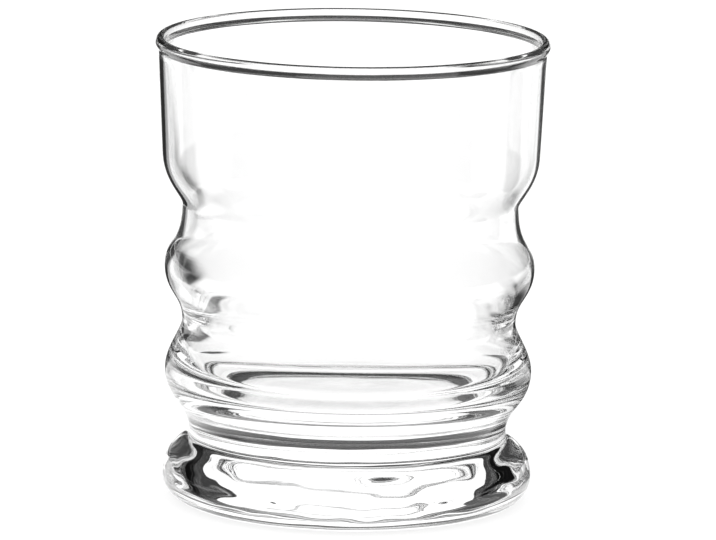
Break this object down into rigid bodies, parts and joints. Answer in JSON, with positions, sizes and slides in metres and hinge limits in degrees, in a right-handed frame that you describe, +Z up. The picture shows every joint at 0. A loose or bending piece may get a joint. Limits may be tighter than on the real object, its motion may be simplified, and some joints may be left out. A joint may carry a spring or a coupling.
{
  "type": "glass tumbler",
  "caption": "Clear rocks tumbler with a beaded rim, a nearly straight upper wall, a double-bulged waisted body and a heavy solid foot, for cold drinks.",
  "frame": {"origin": "centre of the flat bearing ring under the foot, on the table", "axes": "+Z up along the axis of revolution, from the foot to the rim; X and Y are alike because the glass is round"},
  "size_m": [0.0826, 0.0826, 0.098],
  "materials": {
    "fire_polished_glass": "clear colourless soda-lime glass, flame-polished to a smooth bead",
    "blown_glass": "clear colourless soda-lime glass, blown in a mould, glossy with faint waviness",
    "pressed_glass": "clear colourless soda-lime glass, thick and glossy, with faint mould chill waves"
  },
  "bodies": {
    "root": {"rim_bead": "fire_polished_glass", "bowl": "blown_glass", "foot": "pressed_glass"}
  },
  "joints": []
}
